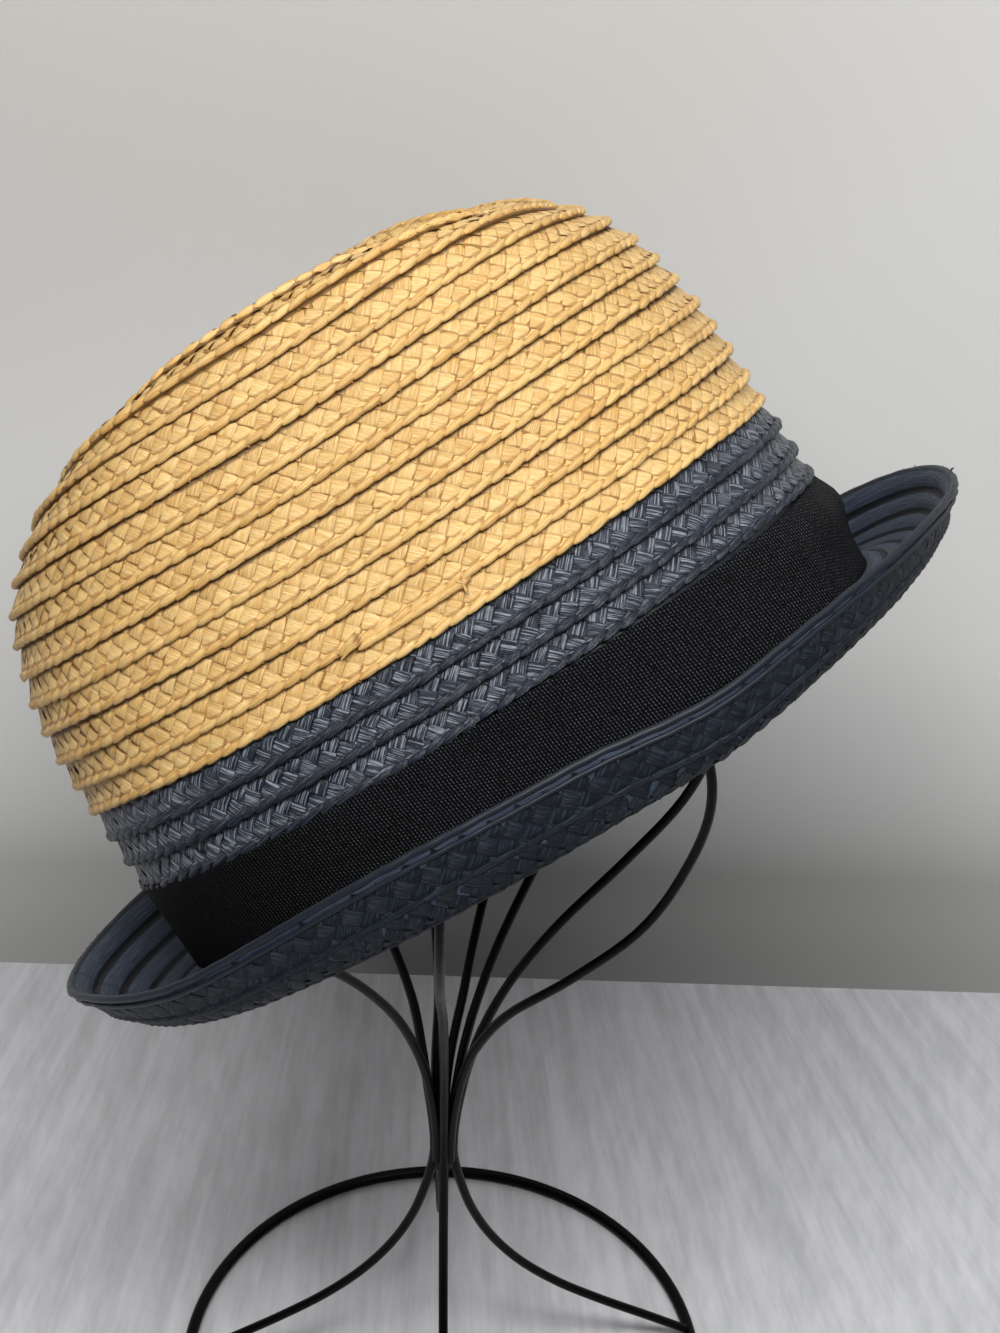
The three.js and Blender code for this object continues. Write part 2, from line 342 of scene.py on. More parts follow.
def strandTree():  # a flat strand that dips under its neighbours at both ends
    made = Grower("plaitStrands", strandSizes)
    net, size = made.net, made.size
    grid = {"Size X": size("Strand length"), "Size Y": size("Strand width"), "Vertices X": 6, "Vertices Y": 5}
    flat = net.node("GeometryNodeMeshGrid", None, grid)
    x, y, _ = net.parts(net.node("GeometryNodeInputPosition"))
    ends = abs(x * 2 / size("Strand length")) ** 2.6
    sides = abs(y * 2 / size("Strand width")) ** 4
    lift = 0 - ends * size("Dip") - sides * size("Shoulder")
    arched = made.shift(flat, net.vector(0.0, 0.0, lift))
    marked = made.keep(arched, "strand", "FLOAT_VECTOR", net.vector(x * 1000, y * 1000, 0.0))
    return made.standOn(marked)


def lobeTree():  # a strand where it turns round the edge of the braid
    made = Grower("edgeLobes", lobeSizes)
    net, size = made.net, made.size
    ball = net.node("GeometryNodeMeshUVSphere", None, {"Segments": 8, "Rings": 6, "Radius": 0.5})
    x, y, z = net.parts(net.node("GeometryNodeInputPosition"))
    place = net.vector(z * size("Lobe length"), y * size("Lobe width"), x * size("Lobe height"))
    shaped = net.node("GeometryNodeSetPosition", None, {"Geometry": ball, "Position": place})
    a, b, c = net.parts(net.node("GeometryNodeInputPosition"))
    bend = abs(a * 2 / size("Lobe length")) ** 2 * size("Bend")
    bent = made.shift(shaped, net.vector(0.0, 0.0, 0 - bend))
    marked = made.keep(bent, "strand", "FLOAT_VECTOR", net.vector(a * 1000, b * 1000, 3.0))
    return made.standOn(marked)


# ---- where the strands lie ----
def rowPath(spacing, start, end, lift=0.6):  # places along the crown's spiral, in turns, evenly spaced
    fine = np.linspace(start, end, int((end - start) * 500))
    points = crown.at(fine * 2 * math.pi - math.pi, rowAt(fine) + lift)
    run = np.concatenate([[0], np.cumsum(np.linalg.norm(np.diff(points, axis=0), axis=1))])
    count = int(run[-1] / spacing)
    return np.interp(np.arange(count) * spacing, run, fine)


def leftShare(turns):  # 1 at the hat's left end, 0 from the front round to the back
    return np.maximum(0, np.cos(turns * 2 * math.pi)) ** 1.5


def rowAt(turns):  # the row line's height in rows, with the hand's small unevenness
    angle = turns * 2 * math.pi
    sway = 0.04 * np.sin(angle * 2 + 1) + 0.03 * np.sin(angle * 5)
    sway = sway + 0.025 * np.sin(angle * 0.37 + 1) + 0.02 * np.sin(angle * 3.3)
    return hat["tanRow"] - 0.25 + turns + sway + hat["leftRise"] * leftShare(turns)


def inSight(turns):  # the rows that the ribbon doesn't cover
    return rowAt(turns) > hat["hiddenRow"] + 0.45 * leftShare(turns)


def grow(name, seeds, tree, sizes, material):  # runs a node group on the seeds and keeps the plain mesh
    holder = bpy.data.objects.new(name, seeds)
    bpy.context.scene.collection.objects.link(holder)
    modifier = holder.modifiers.new("Strands", "NODES")
    modifier.node_group = tree
    for item in tree.interface.items_tree:
        if item.in_out == "INPUT" and item.name in sizes:
            modifier[item.identifier] = sizes[item.name]
        if item.in_out == "INPUT" and item.name == "Finish":
            modifier[item.identifier] = material
    bpy.context.view_layer.update()
    evaluated = holder.evaluated_get(bpy.context.evaluated_depsgraph_get())
    mesh = bpy.data.meshes.new_from_object(evaluated)
    holder.modifiers.clear()
    holder.data = mesh
    mesh.name = name
    print(name, len(mesh.polygons), "faces")
    return holder


def ride(piece, slot, *nodes):
    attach(piece, "root")
    if nodes:
        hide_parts(*nodes)
    return piece


weave = {
    "strand": 4.0,  # millimetres, a strand's width
    "cord": 2.3,  # height of the edge cord
    "pitch": 7.6,  # of the rows
    "firstLane": 3.6,  # height of the first lane of strands above the row line
    "lowLift": -0.95,  # at the top of a row, where the next row covers it
    "topLift": 0.3,
    "cordHeight": 1.1,
    "cordLift": 0.3,
    "cordStep": 5.0,  # from one lump of the cord to the next
    "leftDraw": 0.2,  # how far the cord draws in at the left end
    "topDraw": 0.12,  # and over the turns near the top
}
lattice = weave["strand"] * math.sqrt(2)
laneHeights = [weave["firstLane"] + lattice * share for share in (0, 0.5, 1)]


def strandSeeds(turns):  # three lanes of crossing strands
    turns, gap = turns[inSight(turns)], turns[1] - turns[0]
    parts = []
    for lane, height in enumerate(laneHeights):
        shifted = turns + gap * 0.5 * (lane % 2)
        angle, row = shifted * 2 * math.pi - math.pi, rowAt(shifted) + height / weave["pitch"]
        point = crown.at(angle, row)
        along, slope, out = crown.axes(angle, row)
        share = (height - weave["cord"]) / (weave["pitch"] - weave["cord"])
        lift = weave["topLift"] + (weave["lowLift"] - weave["topLift"]) * share
        lean = (weave["topLift"] - weave["lowLift"]) / (weave["pitch"] - weave["cord"])
        count = len(shifted)
        lift = lift + dice.normal(0, 0.05, (count, 1))
        facing = out + slope * lean + along * dice.normal(0, 0.05, (count, 1))
        facing = facing + slope * dice.normal(0, 0.05, (count, 1))
        sign = 1 if lane % 2 else -1
        values = {
            "turn": sign * math.radians(45) + dice.normal(0, 0.05, count),
            "stretch": 1 + dice.normal(0, 0.04, (count, 3)),
            "tone": dice.random(count) * 0.8 + 0.2 * (lane % 2),
            "rise": np.full(count, height),
        }
        parts.append((point + out * lift, facing, along, values))
    return joined(parts)


def joined(parts):
    points, facing, along = (np.concatenate([part[i] for part in parts]) for i in range(3))
    values = {key: np.concatenate([part[3][key] for part in parts]) for key in parts[0][3]}
    return points, facing, along, values


def cordSeeds(turns):
    turns = turns[inSight(turns)]
    angle, row = turns * 2 * math.pi - math.pi, rowAt(turns) + weave["cordHeight"] / weave["pitch"]
    point = crown.at(angle, row)
    along, slope, out = crown.axes(angle, row)
    count = len(turns)
    values = {
        "turn": math.radians(9) + dice.normal(0, 0.04, count),
        "pitch": math.radians(5) + dice.normal(0, 0.02, count),
        "stretch": 1 + dice.normal(0, 0.08, (count, 3)),
        "tone": dice.random(count),
        "rise": np.full(count, 1.0),
    }
    lift = weave["cordLift"] - weave["leftDraw"] * leftShare(turns)[:, None]
    lift = lift - weave["topDraw"] * np.clip((turns[:, None] - 5) / 4, 0, 1)
    point = point + out * (lift + dice.normal(0, 0.05, (count, 1))) + slope * dice.normal(0, 0.08, (count, 1))
    return point, out, along, values


def seedsMesh(name, seeds):  # a mesh of bare points, with what the node groups read on each
    points, facing, along, values = seeds
    mesh = bpy.data.meshes.new(name)
    mesh.vertices.add(len(points))
    mesh.vertices.foreach_set("co", inRoom(points).astype(np.float32).ravel())
    vectors = {"facing": facing @ hatTurn.T, "along": along @ hatTurn.T, "stretch": values["stretch"]}
    for label, data in vectors.items():
        mesh.attributes.new(label, "FLOAT_VECTOR", "POINT").data.foreach_set("vector", np.ravel(data))
    for label, usual in {"turn": 0, "pitch": 0, "tone": 0, "rise": 3}.items():
        data = np.broadcast_to(values.get(label, usual), len(points)).astype(np.float32)
        mesh.attributes.new(label, "FLOAT", "POINT").data.foreach_set("value", data)
    return mesh


# ---- materials ----
def strawMaterial(name, look):
    made, net = newMaterial(name)
    strand, tone = net.attribute("strand", "Vector"), net.attribute("tone", "Fac")
    turn, rise = net.attribute("turn", "Fac"), net.attribute("rise", "Fac")
    x, y, kind = net.parts(strand)
    streak = net.noise(net.vector(x * 0.12, y * 2.4, tone * 40), 1.0, 2.0, 0.5)
    fine = net.noise(net.vector(x * 0.35, y * 6.5, tone * 90), 1.0, 2.0, 0.6)
    patch = net.noise(net.node("ShaderNodeTexCoord", out="Object"), look["patches"], 3.0, 0.6)
    fibre = streak * 0.5 + fine * 0.5
    base = net.mix(tone.between(0.05, 0.95), look["pale"], look["deep"])
    base = net.mix(patch.between(0.35, 0.7) * 0.5, base, look["patch"])
    plain = look["streaks"] * (1 - kind.between(0.5, 2.5) * 0.4)
    # lighter fibre streaks: partly the straw's own grain, partly painted highlight (sheen) along the fibres
    base = net.mix(streak.between(*look["sheen"]) * plain, base, look["grainAndSheen"])
    base = net.mix(fine.between(0.56, 0.66) * plain * look["hairs"], base, look["hairsAndShade"])
    tile = 1 - kind.between(0.5, 2.5)
    # painted shade: darker where each strand's ends dive under its neighbours, along the strands' sides, and
    # towards one end of each cord lump where it runs under the next
    creviceShade = abs(x).between(1.75, 2.1) * tile
    rolled = kind.between(1.5, 2.5) * (1 - kind.between(3.5, 4.5))
    creviceShade = creviceShade + rolled * x.between(1.5, 2.9) * 0.7
    creviceShade = creviceShade.do("MAXIMUM", abs(y).between(1.5, 2.3) * tile * 0.6)
    base = net.mix(creviceShade.do("MINIMUM", 1.0) * look["creviceShade"], base, look["hairsAndShade"])
    height = rise + (x * turn.do("SINE") + y * turn.do("COSINE")) * tile
    core = kind.between(5.0, 5.5)
    # painted shade on the braid's core where the strands lie over it
    base = net.mix(core * height.between(2.6, 4.2) * 0.8, base, look["hairsAndShade"])
    # painted shadow: the top of each row, where the next row's cord overhangs it, goes darker; the brim
    # face's grooves reach it too
    under = height.between(6.7, 7.7)
    # painted shade on the core's undercut beneath the cord
    undercutShade = core * (1 - height.between(0.2, 0.6))
    # painted shade: a thin darker line just above each cord; the crown's shells, which carry no height, take
    # it all over
    creaseShade = (1 - height.between(2.4, 3.1)) * tile * 0.65
    base = net.mix(creaseShade, base, look["hairsAndShade"])
    base = net.mix(under.do("MAXIMUM", undercutShade) * look["shade"], base, look["shadeColour"])
    span = {"Value": fibre, "To Min": look["rough"] + 0.15, "To Max": look["rough"] - 0.15}
    rough = net.node("ShaderNodeMapRange", None, span)
    shade = {"Base Color": base, "Roughness": rough, "Specular IOR Level": look["gloss"],
             "Normal": bumped(net, fibre, look["relief"], 0.0006)}
    finishMaterial(net, net.node("ShaderNodeBsdfPrincipled", None, shade))
    return made


tanLook = {
    "pale": (0.8, 0.53, 0.2), "deep": (0.62, 0.355, 0.105), "patch": (0.69, 0.42, 0.13),
    "grainAndSheen": (0.92, 0.73, 0.38), "hairsAndShade": (0.29, 0.13, 0.028), "shadeColour": (0.14, 0.065, 0.017),
    "streaks": 0.5, "sheen": (0.4, 0.65), "hairs": 0.9, "patches": 60, "rough": 0.48,
    "gloss": 0.5, "relief": 0.8, "creviceShade": 0.9, "shade": 0.9,
}
navyLook = {
    "pale": (0.024, 0.034, 0.056), "deep": (0.009, 0.014, 0.026), "patch": (0.015, 0.022, 0.038),
    "grainAndSheen": (0.36, 0.4, 0.48), "hairsAndShade": (0.003, 0.005, 0.009), "shadeColour": (0.0015, 0.002, 0.003),
    "streaks": 0.8, "sheen": (0.46, 0.66), "hairs": 0.6, "patches": 60, "rough": 0.38,
    "gloss": 0.55, "relief": 1.3, "creviceShade": 0.9, "shade": 0.9,
}
# painted shade: a darker copy of the navy straw, for the brim's underside, its cords and a stray thread
shadedNavyLook = {
    **navyLook, "pale": (0.009, 0.015, 0.025), "deep": (0.004, 0.008, 0.013), "patch": (0.007, 0.012, 0.02),
    "grainAndSheen": (0.042, 0.057, 0.082), "streaks": 0.55, "rough": 0.55, "gloss": 0.22, "relief": 1.2,
    "creviceShade": 0.85,
}
pipingLook = {
    **navyLook, "pale": (0.011, 0.019, 0.034), "grainAndSheen": (0.055, 0.08, 0.125),
    "streaks": 0.6, "creviceShade": 0.5, "rough": 0.5, "gloss": 0.35,
}
litFaceLook = {  # the brim's upper face: the same navy straw made lighter than on the underside, painted light
    **shadedNavyLook, "pale": (0.036, 0.049, 0.078), "patch": (0.024, 0.034, 0.056), "grainAndSheen": (0.11, 0.135, 0.19),
    "streaks": 0.5, "relief": 0.8, "gloss": 0.15,
}
cordLook = {
    **navyLook, "pale": (0.013, 0.019, 0.032), "grainAndSheen": (0.13, 0.155, 0.2), "streaks": 0.5, "gloss": 0.6,
}
tanStraw = strawMaterial("tanStraw", tanLook)
navyStraw = strawMaterial("navyStraw", navyLook)
shadedNavyStraw = strawMaterial("shadedNavyStraw", shadedNavyLook)
litFaceStraw = strawMaterial("litFaceStraw", litFaceLook)
navyCordStraw = strawMaterial("navyCordStraw", cordLook)
pipingStraw = strawMaterial("pipingStraw", pipingLook)
print("straw materials made")


# ---- the crown's plaited rows ----
strands = strandTree()
lobes = lobeTree()
spiral = {
    "start": -4,  # turns
    "end": 20.35,
    "colour": hat["splice"] - 1,  # tan straw above this turn, navy below
    "gap": 0.004,  # between the two
}


def plaitedRows(names, start, end, slot, straw, cordStraw):  # the strands of a run of rows, and their cords
    turns, cordTurns = rowPath(lattice, start, end), rowPath(weave["cordStep"], start, end)
    plait = seedsMesh(names[0] + "Seeds", strandSeeds(turns))
    ride(grow(names[0], plait, strands, strandSizes, straw), slot)
    cord = seedsMesh(names[1] + "Seeds", cordSeeds(cordTurns))
    ride(grow(names[1], cord, lobes, lobeSizes, cordStraw), slot)


tanRun = (spiral["colour"], spiral["end"])
navyRun = (spiral["start"], spiral["colour"] - spiral["gap"])
plaitedRows(("crownPlait", "crownCord"), *tanRun, "tan_straw", tanStraw, tanStraw)
plaitedRows(("bandPlait", "bandCord"), *navyRun, "navy_straw", navyStraw, navyCordStraw)

core = {  # the braid's solid middle, under its strands
    "step": 1.7,
    "kind": 6,
    "section": [  # height above the row line and lift
        (0.9, -1.9), (0.25, -1.1), (0.1, -0.3), (0.4, 0.3), (1.1, 0.6), (1.8, 0.3), (2.4, -0.1), (3.2, -0.4),
        (7.4, -1.75), (8.4, -2.2),
    ],
}


def keptMesh(name, points, faces, material=None):  # a smooth mesh object, from points in the hat's frame
    mesh = bpy.data.meshes.new(name)
    mesh.from_pydata(inRoom(points).tolist(), [], faces)
    mesh.polygons.foreach_set("use_smooth", [True] * len(mesh.polygons))
    if material:
        mesh.materials.append(material)
    piece = bpy.data.objects.new(name, mesh)
    bpy.context.scene.collection.objects.link(piece)
    return piece


def markStraw(piece, marks, rises):  # what the straw materials read
    attributes = piece.data.attributes
    attributes.new("strand", "FLOAT_VECTOR", "POINT").data.foreach_set("vector", np.ravel(marks))
    attributes.new("rise", "FLOAT", "POINT").data.foreach_set("value", rises)


def braidCore(name, start, end, material):
    turns = rowPath(core["step"], start, end)
    turns = turns[inSight(turns)]
    angle = turns * 2 * math.pi - math.pi
    rings, marks = [], []
    run = np.arange(len(turns)) * core["step"]
    for height, lift in core["section"]:
        row = rowAt(turns) + height / weave["pitch"]
        out = crown.axes(angle, row)[2]
        rings.append(crown.at(angle, row) + out * lift)
        marks.append(np.stack([run, np.full_like(run, height), np.full_like(run, core["kind"])], 1))
    count = len(turns)
    index = np.arange(count * len(rings)).reshape(len(rings), count)
    strips = [np.stack([a[:-1], a[1:], b[1:], b[:-1]], 1) for a, b in zip(index[:-1], index[1:])]
    piece = keptMesh(name, np.concatenate(rings), np.concatenate(strips).tolist(), material)
    markStraw(piece, np.concatenate(marks), np.repeat([height for height, lift in core["section"]], count))
    print(name, len(piece.data.polygons), "faces")
    return piece


ride(braidCore("crownCore", *tanRun, tanStraw), "tan_straw")
ride(braidCore("bandCore", *navyRun, navyStraw), "navy_straw")


# ---- the join in the straw ----
join = {
    "start": 1.216,  # turns of the spiral, where a braid's end lies over the row
    "end": 1.279,
}


def looseSeeds(turns, heights, lifts, bearings, tilts, stretches):
    angle, row = turns * 2 * math.pi - math.pi, rowAt(turns) + heights / weave["pitch"]
    along, slope, out = crown.axes(angle, row)
    tone = dice.random(len(turns))
    values = {"turn": np.radians(bearings), "pitch": np.radians(tilts), "stretch": stretches, "tone": tone}
    return crown.at(angle, row) + out * lifts[:, None], out, along, values


doubled = np.linspace(join["start"] + 0.014, join["end"], 8)
tuft = np.full(9, join["start"] + 0.004)
hook = np.full(5, join["end"] + 0.002)
turns = np.concatenate([doubled, tuft, hook])
heights = np.concatenate([np.full(8, -0.3), dice.uniform(0.2, 2.2, 9), dice.uniform(-1.6, 0.4, 5)])
lifts = np.concatenate([np.full(8, 0.9), dice.uniform(1.5, 2.2, 9), dice.uniform(1.2, 1.7, 5)])
bearings = np.concatenate([np.full(8, 4), dice.uniform(-4, 26, 9), [-70, -50, 62, 80, -84]])
tilts = np.concatenate([np.full(8, 3), dice.uniform(-4, 8, 9), dice.uniform(-8, 8, 5)])
plump = np.tile([1.0, 0.9, 0.8], (8, 1))
thin = np.tile([0.8, 0.42, 0.4], (9, 1)) * dice.uniform(0.8, 1.25, (9, 3))
short = np.tile([0.42, 0.32, 0.4], (5, 1)) * dice.uniform(0.8, 1.2, (5, 3))
joinSeeds = looseSeeds(turns, heights, lifts, bearings, tilts, np.concatenate([plump, thin, short]))
ride(grow("braidJoin", seedsMesh("joinSeeds", joinSeeds), lobes, lobeSizes, tanStraw), "tan_straw")


# ---- the button in the middle of the top ----
button = {
    "count": 9,
    "rows": [26.45, 26.8, 26.65],
    "lift": -0.2,
    "size": 0.85,
}
middle = np.linspace(spiral["end"] + 0.01, spiral["end"] + 1.01, button["count"])
heights = (np.tile(button["rows"], 3) - rowAt(middle)) * weave["pitch"]
lifts = np.full(button["count"], button["lift"])
bearings = dice.uniform(-60, 60, button["count"])
sizes = np.full((button["count"], 3), button["size"])
buttonSeeds = looseSeeds(middle, heights, lifts, bearings, np.zeros(button["count"]), sizes)
ride(grow("crownButton", seedsMesh("buttonSeeds", buttonSeeds), strands, strandSizes, tanStraw), "tan_straw")


# ---- shells under the strands ----
def shellMesh(name, rings, closeTop=False):  # rings of points, each the same count, joined in order
    rings = np.asarray(rings)
    rows, columns = rings.shape[:2]
    index = np.arange(rows * columns).reshape(rows, columns)
    following = np.roll(index, -1, axis=1)
    pairs = range(rows - 1) if closeTop else range(-1, rows - 1)
    faces = [np.stack([index[i], following[i], following[i + 1], index[i + 1]], 1) for i in pairs]
    faces = np.concatenate(faces).tolist()
    if closeTop:
        faces += [index[0][::-1].tolist(), index[-1].tolist()]
    return keptMesh(name, rings.reshape(-1, 3), faces)


def shellRings(cloth, rows, angles, lifts):
    rings = []
    for row, lift in zip(rows, lifts):
        spot = cloth.at(angles, row)
        out = cloth.axes(angles, np.full_like(angles, row))[2]
        rings.append(spot + out * lift)
    return rings


shell = {
    "spokes": 180,
    "outer": -1.5,  # millimetres, the shell's outer face under the row lines
    "inner": -2.5,
    "ridge": 0.35,  # of each row on the inside
    "innerStep": -0.2,  # rows
    "outerStep": 0.45,
}
around = np.linspace(-math.pi, math.pi, shell["spokes"], endpoint=False)


def rowShell(name, insideRows, outsideRows, closeTop=False):  # up one face and down the other
    innerRows = np.arange(*insideRows, shell["innerStep"])
    outerRows = np.arange(*outsideRows, shell["outerStep"])
    ridges = shell["inner"] - shell["ridge"] * np.abs(np.sin(innerRows * math.pi))
    inside = shellRings(crown, innerRows, around, ridges)
    outside = shellRings(crown, outerRows, around, [shell["outer"]] * len(outerRows))
    return shellMesh(name, inside + outside, closeTop)


crownShell = rowShell("crownShell", (26.7, 6.5), (6.5, 26.8), closeTop=True)
bandShell = rowShell("bandShell", (6.4, -0.05), (0, 6.5))
crownShell.data.materials.append(tanStraw)
bandShell.data.materials.append(navyStraw)
ride(crownShell, "tan_straw", "straw_crown")
ride(bandShell, "navy_straw", "crown_band")
print("crown made")


# ---- the brim ----
brimBraid = {
    "half": 0.45,  # millimetres, half the shell under the strands
    "rimStrand": 5.2,
    "strand": 4.2,
    "lanes": [(0.12, 0.8, 0.12), (0.5, 0.7, 0.08), (0.9, 0.5, 0.05)],  # share of the row, lift and tip
    "rimLanes": [(0.02, 0.75, 0.05), (0.24, 0.75, 0), (0.45, 0.75, 0), (0.64, 0.7, 0)],
    "ridge": 1.3,  # height of the rows' rounded backs on the upper face
    "faceRows": 6,
    "faceSteps": 73,
    "grooveShade": 11.5,  # how strongly shade is painted into the grooves between the rows
    "rim": 560,  # length of the grain's run round the brim
    "row": 7.4,
    "kind": 4.5,
}


def ringAngles(cloth, row, spacing):  # evenly spaced places round a closed row
    fine = np.linspace(-math.pi, math.pi, 1440)
    run = np.linalg.norm(np.diff(cloth.at(fine, np.full_like(fine, row)), axis=0), axis=1)
    run = np.concatenate([[0], np.cumsum(run)])
    count = int(round(run[-1] / spacing))
    return np.interp(np.arange(count) / count * run[-1], run, fine)


def ringStrands(low, high, strand, lanes):  # lanes of crossing strands on the underside
    angles = ringAngles(brim, (low + high) / 2, strand * math.sqrt(2))
    shares = np.interp([low, high], range(6), brim.shares)
    width = np.interp(angles, brim.angles, brim.lengths) * (shares[1] - shares[0])
    gap = 2 * math.pi / len(angles)
    parts = []
    for lane, (share, lift, tip) in enumerate(lanes):
        angle = angles + gap * 0.5 * (lane % 2)
        row = low + (high - low) * share
        along, slope, out = brim.axes(angle, np.full_like(angle, row))
        count = len(angle)
        lift = lift + dice.normal(0, 0.03, (count, 1))
        facing = out + slope * (tip + dice.normal(0, 0.03, (count, 1)))
        stretch = 1 + dice.normal(0, 0.03, (count, 3))
        fill = (width / (len(lanes) * strand * 0.7071))[:, None] ** 0.5
        stretch[:, :2] *= fill * strand / brimBraid["strand"]
        values = {
            "turn": (1 if lane % 2 else -1) * math.radians(45) + dice.normal(0, 0.04, count),
            "stretch": stretch,
            "tone": dice.random(count) * 0.8 + 0.2 * (lane % 2),
        }
        parts.append((brim.at(angle, row) + out * lift, facing, along, values))
    return parts


def ringCord(row, lift, spacing):
    angle = ringAngles(brim, row, spacing)
    along, slope, out = brim.axes(angle, np.full_like(angle, row))
    count = len(angle)
    values = {
        "turn": math.radians(2.5) + dice.normal(0, 0.01, count),
        "pitch": math.radians(0.4) + dice.normal(0, 0.005, count),
        "stretch": 1 + dice.normal(0, 0.05, (count, 3)),
        "tone": dice.random(count) * 0.5 + 0.5,
    }
    return brim.at(angle, row) + out * lift, out, along, values


under = []
for row in range(4):
    under += ringStrands(row, row + 1, brimBraid["strand"], brimBraid["lanes"])
under += ringStrands(4, 4.94, brimBraid["rimStrand"], brimBraid["rimLanes"])
flatSizes = {"Strand length": 0.0054, "Strand width": 0.0044, "Dip": 0.0003, "Shoulder": 0.0001}
ride(grow("brimPlait", seedsMesh("brimSeeds", joined(under)), strands, flatSizes, shadedNavyStraw), "navy_straw")
cordParts = [ringCord(row + 0.06, 0.45, 4.6) for row in range(1, 5)]
pipingSizes = {"Lobe length": 0.012, "Lobe width": 0.0018, "Lobe height": 0.0019, "Bend": 0.0007}
cordMesh = seedsMesh("brimCordSeeds", joined(cordParts))
ride(grow("brimCord", cordMesh, lobes, pipingSizes, shadedNavyStraw), "navy_straw")

steps = brimBraid["faceSteps"]
slopes = np.interp(np.linspace(0.004, 0.993, steps), brim.shares, range(6))
faceRows = np.interp(slopes, range(6), brim.shares) * brimBraid["faceRows"]
backs = np.abs(np.sin(math.pi * np.minimum(faceRows, brimBraid["faceRows"] - 0.15)))
half = brimBraid["half"]
ridges = -half - brimBraid["ridge"] * backs**0.6
lower = shellRings(brim, slopes, around, [half] * steps)
upper = shellRings(brim, slopes[::-1], around, ridges[::-1])
brimShell = shellMesh("brimShell", (lower + upper)[::-1])
run = np.tile(np.linspace(0, brimBraid["rim"], shell["spokes"], endpoint=False), 2 * steps)
across = np.repeat(np.concatenate([slopes, slopes[::-1]])[::-1] * brimBraid["row"], shell["spokes"])
# painted shade: the grooves between the upper face's rows get a large rise, which the straw material darkens
grooveShade = brimBraid["grooveShade"] * (1 - backs**1.3)
rises = np.repeat(np.concatenate([np.full(steps, 3.0), grooveShade[::-1]])[::-1], shell["spokes"])
markStraw(brimShell, np.stack([run, across, np.full_like(run, brimBraid["kind"])], 1), rises)
brimShell.data.materials.append(litFaceStraw)
ride(brimShell, "navy_straw", "brim")
print("brim made")


# ---- the ribbon ----
ribbonLook = {
    "width": 25.0,
    "bottom": 0.4,
    "thick": 0.5,
    "girth": 0.56,
    "rib": 0.95,  # millimetres from rib to rib
    "dot": 0.85,  # and from one raised thread to the next along it
    "bulge": 3.3,  # how far it stands out at the right end
    "tuck": 1.5,  # and how far its edges draw in there
    "lift": 0.35,  # of its inner face from the crown's surface
    "columns": 420,
    "steps": 13,  # across it, on each face
}


def ribbonRing(across, lift):
    angles = np.linspace(-math.pi, math.pi, ribbonLook["columns"], endpoint=False)
    pitch = np.interp(angles, crown.angles, crown.lengths) / hat["rows"]
    left = np.maximum(0, -np.cos(angles)) ** 1.5
    near = np.exp(-(((angles + 0.02) / 0.36) ** 2))
    height = ribbonLook["bottom"] + 3.2 * left + across * (ribbonLook["width"] + 0.6 * left + 1.8 * near)
    spot = crown.at(angles, height / pitch)
    out = crown.axes(angles, height / pitch)[2]
    loose = near * (ribbonLook["bulge"] * math.exp(-(((across - 0.68) / 0.26) ** 2)) - ribbonLook["tuck"])
    fold = near * 0.5 * np.sin(angles * 23 + across * 2.5) * np.sin(math.pi * across)
    soft = 0.12 * np.sin(angles * 9 + 1) * across
    return spot + out * (lift + loose + fold + soft)[:, None]


def ribbonFinish():
    made, net = newMaterial("grosgrain")
    u, v, _ = net.parts(net.node("ShaderNodeUVMap", {"uv_map": "weft"}))
    wobble = net.noise(net.vector(u * 0.06, v * 0.15, 0.0), 1.0, 2.0, 0.5)
    rib = ((u + v * 0.1 + wobble * 0.8) * (2 * math.pi / ribbonLook["rib"])).do("SINE")
    grain = net.noise(net.vector(u * 2.4, v * 2.8, 0.0), 1.0, 2.0, 0.7)
    # slow random variation in how bright the specks are
    mottle = net.noise(net.vector(u * 0.02, v * 0.06, 3.0), 1.0, 3.0, 0.6)
    dots = ((v + u * 0.3) * (2 * math.pi / ribbonLook["dot"])).do("SINE")
    # lighter raised threads along the ribs: partly the weave's own colour, partly painted highlight on the
    # rib crests
    threadsAndSheen = rib.between(0.0, 0.8) * grain.between(0.4, 0.6) * (0.3 + dots.between(-0.3, 0.8) * 1.3)
    # painted light: the specks are brightest round the lit front of the ribbon and fade towards its left end
    # and its back
    litFront = 0.2 + 0.8 * (1 - abs(u - 200).between(70, 170))
    base = net.mix(threadsAndSheen * (0.3 + mottle) * litFront, (0.0004, 0.0004, 0.0006), (0.075, 0.081, 0.098))
    shade = {"Base Color": base, "Roughness": 0.7, "Specular IOR Level": 0.08,
             "Normal": bumped(net, rib * 0.6 + grain, 0.8, 0.0003)}
    finishMaterial(net, net.node("ShaderNodeBsdfPrincipled", None, shade))
    return made


shares = np.linspace(0, 1, ribbonLook["steps"])
inner = [ribbonRing(share, ribbonLook["lift"]) for share in shares[::-1]]
outer = [ribbonRing(share, ribbonLook["lift"] + ribbonLook["thick"]) for share in shares]
ribbon = shellMesh("grosgrainRibbon", inner + outer)
weft = ribbon.data.uv_layers.new(name="weft")
columns, ringShares = ribbonLook["columns"], np.concatenate([shares[::-1], shares])
for face in ribbon.data.polygons:
    spots = [divmod(ribbon.data.loops[i].vertex_index, columns) for i in face.loop_indices]
    last = any(column == columns - 1 for ring, column in spots)
    for i, (ring, column) in zip(face.loop_indices, spots):
        share = (column + columns * (last and column == 0)) / columns
        weft.data[i].uv = (share * ribbonLook["girth"] * 1000, ringShares[ring] * ribbonLook["width"])
ribbon.data.materials.append(ribbonFinish())
ride(ribbon, "black_ribbon", "ribbon")
print("ribbon made")


